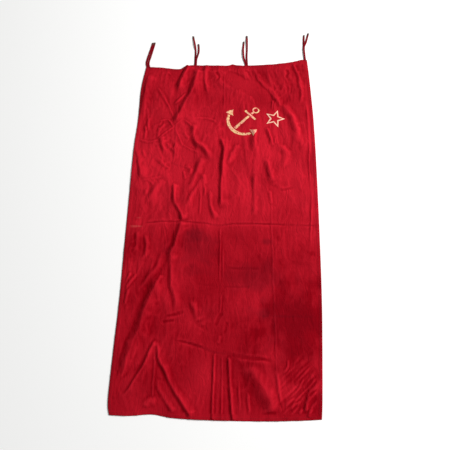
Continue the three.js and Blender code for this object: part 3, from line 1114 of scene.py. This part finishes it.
        # Painted shade darkens every rim a little, and a narrow band of painted shade runs along the
        # rolled rims of the hoist and west edges.
        layers["grime"] += 0.10 * np.exp(-inset / 10) + 0.34 * np.exp(-(shaded_edge_distance / 7) ** 2)
        layers["grime"] += 0.05 * np.clip(ripple(x, y, 45, 45, 22), 0, 2)
        for number, stain in enumerate(STAINS):
            layers[stain.tone.value] += stain.cover(x, y, 30 + number)
        # Crests are painted paler and hollows darker: partly wear, and partly a painted highlight on
        # the crests and painted shade in the hollows.
        around = face.copy()
        for _ in range(3):
            around[1:-1, 1:-1] = (around[1:-1, 1:-1] + around[:-2, 1:-1] + around[2:, 1:-1]
                                  + around[1:-1, :-2] + around[1:-1, 2:]) / 5
        crest = np.where(inset > 24, face - around, 0)
        layers["fade"] += np.clip(1.1 * crest, -0.35, 0.35)
        # Soiling and painted shade darken the pressed lines of the storage folds.
        for fold in STORAGE_FOLDS:
            layers["grime"] += 0.11 * np.abs(fold.lift(x, y))
        return {name: np.clip(values, 0, 1.2) for name, values in layers.items()}

    def height(self, x: float, y: float) -> float:
        """Give the height of the face at a place."""
        hit = self.tree.ray_cast(Vector((x, y, 100.0)), Vector((0, 0, -1)))
        return hit[0].z if hit[0] is not None else self.layer

    def hem_line(self, inset: float, pitch: float) -> np.ndarray:
        """Run a line around the cloth at a distance from its edges.

        Args:
            inset: Distance to the edges.
            pitch: Distance between points.

        Returns:
            Points of the closed line.
        """
        a, b = inset / self.wide, inset / self.long
        ring = [(a, 1 - a, b, b), (1 - a, 1 - a, b, 1 - b), (1 - a, a, 1 - b, 1 - b),
                (a, a, 1 - b, b)]
        parts = []
        for u0, u1, v0, v1 in ring:
            t = np.linspace(0, 1, 400, endpoint=False)
            x, y = self.plan(u0 + (u1 - u0) * t, v0 + (v1 - v0) * t)
            parts.append(np.stack([x, y], 1))
        line = np.vstack([*parts, parts[0][:1]])
        run = np.concatenate([[0], np.cumsum(np.linalg.norm(np.diff(line, axis=0), axis=1))])
        at = np.arange(0, run[-1], pitch)
        return np.stack([np.interp(at, run, line[:, k]) for k in (0, 1)], 1)


@dataclass
class HemStitches:
    """The lock-stitch that holds the hems, one small thread loop after another."""

    cloth: ClothPanel
    name: str = "hem_stitches"
    inset: float = 11.5
    pitch: float = 3.6
    stitch: float = 2.7
    radius: float = 0.38
    sides: int = 6
    # Each stitch's rings, as [share of its length, share of its radius, rise].
    rings: Route = ((0.0, 0.5, -0.25), (0.25, 1.0, 0.15), (0.75, 1.0, 0.15), (1.0, 0.5, -0.25))

    def build(self, material: bpy.types.Material) -> bpy.types.Object:
        """Lay every stitch on the hem.

        Args:
            material: The sewing thread.

        Returns:
            All stitches as one piece.
        """
        line = self.cloth.hem_line(self.inset, self.pitch)
        vertices, faces = [], []
        for here, there in zip(line, np.roll(line, -1, axis=0)):
            run = (there - here) / np.linalg.norm(there - here) * self.stitch
            ends = [np.array((*p, self.cloth.height(*p))) for p in (here, here + run)]
            ahead = ends[1] - ends[0]
            side = np.array((-ahead[1], ahead[0], 0)) / np.linalg.norm(ahead[:2])
            faces += tube_faces(len(vertices), len(self.rings), self.sides, flip=True)
            for s, size, rise in self.rings:
                centre = ends[0] + ahead * s + np.array((0, 0, rise))
                for k in range(self.sides):
                    a = 2 * math.pi / self.sides * k
                    vertices.append(centre + side * math.cos(a) * self.radius * size
                                    + np.array((0, 0, math.sin(a) * self.radius * size)))
        piece = make_mesh(self.name, np.array(vertices), faces)
        dress(piece, material)
        log.info("%s: %d stitches", self.name, len(line))
        return piece


# ---- Painted motifs ----

@dataclass
class PaintedMotif:
    """A stencilled motif, laid on the face as a thin film, one stroke after another."""

    cloth: ClothPanel
    name: str
    film: float = 0.28
    step: float = 2.0
    # How far its edge wanders, how far its rim dips and how far its back lies in the cloth.
    ragged: float = 0.35
    rim_dip: float = 0.1
    root: float = 0.3
    seed: int = 5

    def __post_init__(self) -> None:
        """Start with no strokes."""
        self.vertices: list[tuple[float, float, float]] = []
        self.faces: list[tuple[int, ...]] = []

    def stroke(self, centre: np.ndarray, widths: np.ndarray, closed: bool = False) -> None:
        """Lay one stroke of paint.

        Args:
            centre: Points of its middle line.
            widths: Its width at each point.
            closed: Whether it ends where it starts.
        """
        ahead = np.gradient(centre, axis=0)
        if closed:
            ahead = np.roll(centre, -1, axis=0) - np.roll(centre, 1, axis=0)
        ahead /= np.linalg.norm(ahead, axis=1)[:, None]
        side = np.stack([-ahead[:, 1], ahead[:, 0]], 1)
        self.band(centre - side * widths[:, None] / 2, centre + side * widths[:, None] / 2, closed)

    def band(self, left: np.ndarray, right: np.ndarray, closed: bool = False) -> None:
        """Lay paint between two lines of points.

        Args:
            left: One side of the band.
            right: The other side.
            closed: Whether the band ends where it starts.
        """
        widest = np.linalg.norm(right - left, axis=1).max()
        lanes = max(3, int(widest / self.step) + 1)
        first = len(self.vertices)
        count = len(left)
        noise = ripple(left[:, 0], left[:, 1], 3, 3, self.seed)
        other = ripple(right[:, 0], right[:, 1], 3, 3, self.seed + 1)
        for i in range(count):
            across = right[i] - left[i]
            unit = across / max(np.linalg.norm(across), 1e-6)
            a = left[i] + unit * self.ragged * noise[i]
            b = right[i] + unit * self.ragged * other[i]
            for k in range(lanes + 1):
                p = a + (b - a) * k / lanes
                rim = k in (0, lanes) or (not closed and i in (0, count - 1))
                base = self.cloth.height(p[0], p[1])
                self.vertices.append((p[0], p[1], base + (-self.rim_dip if rim else self.film)))
                self.vertices.append((p[0], p[1], base - self.root))
        width = (lanes + 1) * 2
        for i in range(count if closed else count - 1):
            here, there = first + i * width, first + (i + 1) % count * width
            for k in range(lanes):
                a, b = here + 2 * k, there + 2 * k
                self.faces.append((a, a + 2, b + 2, b))
                self.faces.append((a + 1, b + 1, b + 3, a + 3))
            for k, flip in ((0, False), (2 * lanes, True)):
                wall = (here + k, there + k, there + k + 1, here + k + 1)
                self.faces.append(wall[::-1] if flip else wall)
        if not closed:
            for start, flip in ((first, True), (first + (count - 1) * width, False)):
                for k in range(lanes):
                    a = start + 2 * k
                    wall = (a, a + 2, a + 3, a + 1)
                    self.faces.append(wall[::-1] if flip else wall)

    def finish(self, material: bpy.types.Material) -> bpy.types.Object:
        """Make the strokes into one piece and dress it.

        Args:
            material: The paint.

        Returns:
            The finished motif.
        """
        piece = make_mesh(self.name, np.array(self.vertices), self.faces)
        dress(piece, material)
        log.info("%s: %d faces of film", self.name, len(self.faces))
        return piece


@dataclass
class Anchor(PaintedMotif):
    """A plain anchor that leans toward the staff, in millimetres from the foot of its shank."""

    name: str = "anchor_paint"
    foot: tuple[float, float] = (38.0, 452.0)
    lean: float = 44.5
    shank: float = 150.0
    arm_radius: float = 84.0
    arm_angle: float = 66.0
    stock: float = 74.0
    stock_below_top: float = 26.0
    ring: float = 14.5
    # Strokes' widths: the shank at its two ends, the arms at the crown and the tips, and the rest.
    shank_widths: tuple[float, float] = (15.0, 12.0)
    arm_widths: tuple[float, float] = (19.0, 12.0)
    stock_width: float = 12.0
    neck_width: float = 11.0
    ring_width: float = 7.5
    fluke_width: float = 44.0
    fluke_turn: float = 0.42
    # Gap that the stencil's bridges leave between strokes.
    bridge: float = 3.0

    def place(self, points: np.ndarray) -> np.ndarray:
        """Set points of the anchor on the cloth.

        Args:
            points: Points as distances across and up the shank.

        Returns:
            The same points on the cloth.
        """
        c, s = math.cos(math.radians(self.lean)), math.sin(math.radians(self.lean))
        across, up = points[:, 0], points[:, 1]
        return np.stack([self.foot[0] + across * c + up * s, self.foot[1] - across * s + up * c], 1)

    def straight(self, start: tuple[float, float], end: tuple[float, float],
                 widths: tuple[float, float]) -> None:
        """Lay a straight stroke.

        Args:
            start: Its first point, across and up the shank.
            end: Its last point.
            widths: Its widths at the two ends.
        """
        count = max(4, int(math.dist(start, end) / self.step))
        t = np.linspace(0, 1, count)[:, None]
        line = np.array(start) * (1 - t) + np.array(end) * t
        self.stroke(self.place(line), np.interp(t[:, 0], (0, 1), widths))

    def build(self, material: bpy.types.Material) -> bpy.types.Object:
        """Lay the shank, the neck, the stock, the ring, the arms and the flukes.

        Args:
            material: The paint.

        Returns:
            The finished anchor.
        """
        gap = self.bridge
        level = self.shank - self.stock_below_top
        crown, half_stock = 11.0, self.stock_width / 2
        self.straight((0, crown + gap), (0, level - half_stock - gap), self.shank_widths)
        self.straight((0, level + half_stock + gap), (0, self.shank - gap), (self.neck_width,) * 2)
        self.straight((-self.stock / 2, level), (self.stock / 2, level), (self.stock_width,) * 2)
        turn = np.linspace(0, 2 * math.pi, 44, endpoint=False)
        middle = self.shank + self.ring
        ring = np.stack([self.ring * np.sin(turn), middle + self.ring * np.cos(turn)], 1)
        self.stroke(self.place(ring), np.full(len(turn), self.ring_width), closed=True)
        limit = math.radians(self.arm_angle)
        swing = np.linspace(-limit, limit, 96)
        thick, thin = self.arm_widths
        self.stroke(self.place(self.arc(swing)), thick - (thick - thin) * (np.abs(swing) / limit))
        grow = np.linspace(0, 1, 18)
        widths = np.maximum(self.fluke_width * (1 - grow), 1.2)
        for sign in (-1, 1):
            angle = sign * (limit + self.bridge / self.arm_radius + grow * self.fluke_turn)
            self.stroke(self.place(self.arc(angle)), widths)
        return self.finish(material)

    def arc(self, angle: np.ndarray) -> np.ndarray:
        """Give the points of the arms' arc at angles from its crown."""
        return np.stack([self.arm_radius * np.sin(angle),
                         self.arm_radius * (1 - np.cos(angle))], 1)


@dataclass
class OutlineStar(PaintedMotif):
    """A plain five-pointed star drawn as an outline."""

    name: str = "star_paint"
    centre: tuple[float, float] = (249.0, 522.0)
    outer: float = 53.0
    waist: float = 0.45
    line: float = 8.0
    # How far the inner outline is drawn in at a tip and at a notch, as shares of the line's width.
    tip_pull: float = 1.9
    notch_pull: float = 1.12
    # Points to each of the ten sides.
    cuts: int = 14

    def build(self, material: bpy.types.Material) -> bpy.types.Object:
        """Lay the outline between a large and a small star.

        Args:
            material: The paint.

        Returns:
            The finished star.
        """
        sides = []
        for shrink in (0.0, 1.0):
            corners = []
            for k in range(11):
                tip = k % 2 == 0
                radius = self.outer if tip else self.outer * self.waist
                radius -= shrink * self.line * (self.tip_pull if tip else self.notch_pull)
                angle = math.pi / 5 * k
                corners.append((self.centre[0] + radius * math.cos(angle),
                                self.centre[1] + radius * math.sin(angle)))
            share = np.arange(0, 10, 1 / self.cuts)
            sides.append(np.stack([np.interp(share, range(11), [c[axis] for c in corners])
                                   for axis in (0, 1)], 1))
        self.band(sides[1], sides[0], closed=True)
        return self.finish(material)


# ---- Assembly ----

# Height of a string's middle in metres, on the surface and on another string.
LOW = 0.0008
HIGH = 0.00275

# Each string's route runs from the hoist edge to its free end.
STRINGS = (
    TieString("string_1_west", (
        (-0.421, 0.8313, LOW), (-0.427, 0.858, LOW), (-0.420, 0.906, LOW), (-0.410, 0.955, LOW),
        (-0.403, 0.997, LOW)), ((0, 0), (0.5, 4), (1, 0)), width=10.4, seed=101),
    TieString("string_1_east", (
        (-0.4105, 0.8309, LOW), (-0.416, 0.858, LOW), (-0.408, 0.906, LOW),
        (-0.3995, 0.955, LOW), (-0.393, 0.998, LOW)), ((0, 0), (0.6, -4), (1, 4)),
        width=10.4, seed=102),
    TieString("string_2_west", (
        (-0.1685, 0.8477, LOW), (-0.1685, 0.897, LOW), (-0.169, 0.938, LOW),
        (-0.175, 0.985, LOW), (-0.184, 1.026, LOW), (-0.187, 1.045, LOW)),
        ((0, 0), (0.3, 25), (0.7, -20), (1, 0)), seed=103),
    TieString("string_2_east", (
        (-0.1635, 0.8475, HIGH), (-0.163, 0.884, HIGH), (-0.158, 0.908, HIGH),
        (-0.153, 0.938, LOW), (-0.155, 0.979, LOW), (-0.158, 0.993, LOW)),
        ((0, 0), (0.5, 15), (1, 0)), seed=104),
    TieString("string_3_west", (
        (0.102, 0.853, LOW), (0.095, 0.880, LOW), (0.089, 0.910, LOW), (0.086, 0.957, LOW),
        (0.088, 0.998, LOW), (0.090, 1.016, LOW)), ((0, 0), (0.5, -18), (1, 10)), seed=105),
    TieString("string_3_east", (
        (0.1075, 0.8528, HIGH), (0.106, 0.880, HIGH), (0.105, 0.915, LOW), (0.106, 0.944, LOW),
        (0.107, 0.999, LOW), (0.105, 1.054, LOW)), ((0, 0), (0.4, 12), (0.8, -20), (1, 0)),
        seed=106),
    TieString("string_4_west", (
        (0.416, 0.8972, LOW), (0.414, 0.951, LOW), (0.413, 0.992, LOW), (0.416, 1.048, LOW),
        (0.418, 1.070, LOW)), ((0, 0), (0.6, 18), (1, 0)), seed=107),
    TieString("string_4_east", (
        (0.417, 0.8972, HIGH), (0.414, 0.951, HIGH), (0.415, 0.985, HIGH), (0.426, 1.015, HIGH),
        (0.434, 1.048, LOW), (0.442, 1.080, LOW)), ((0, 0), (0.5, -12), (1, 15)), seed=108),
)


def main() -> None:
    """Build the flag piece by piece."""
    logging.basicConfig(level=logging.INFO, format="%(message)s")
    studio = Studio()
    studio.camera()

    string_calico = Calico("string_calico", "#A81222", "#780614", "#3A0A12", tip="#54403A",
                            crinkle_depth=0.001).build()
    for string in STRINGS:
        string.build(string_calico)

    cloth = ClothPanel()
    cloth.build(Calico("dyed_calico", "#BC1728", "#84000E", "#460612", tip="#E06C64").build())
    HemStitches(cloth).build(SewingThread().build())
    gold = StencilPaint("stencilled_gold_paint", "#ECCC90", "#F2AC90", "#B01626", 0.34).build()
    cream = StencilPaint("stencilled_cream_paint", "#FAD0B4", "#F6B898", "#B01626", 0.12).build()
    Anchor(cloth).build(gold)
    OutlineStar(cloth).build(cream)

    studio.light()
    studio.floor()


if __name__ == "__main__":
    main()
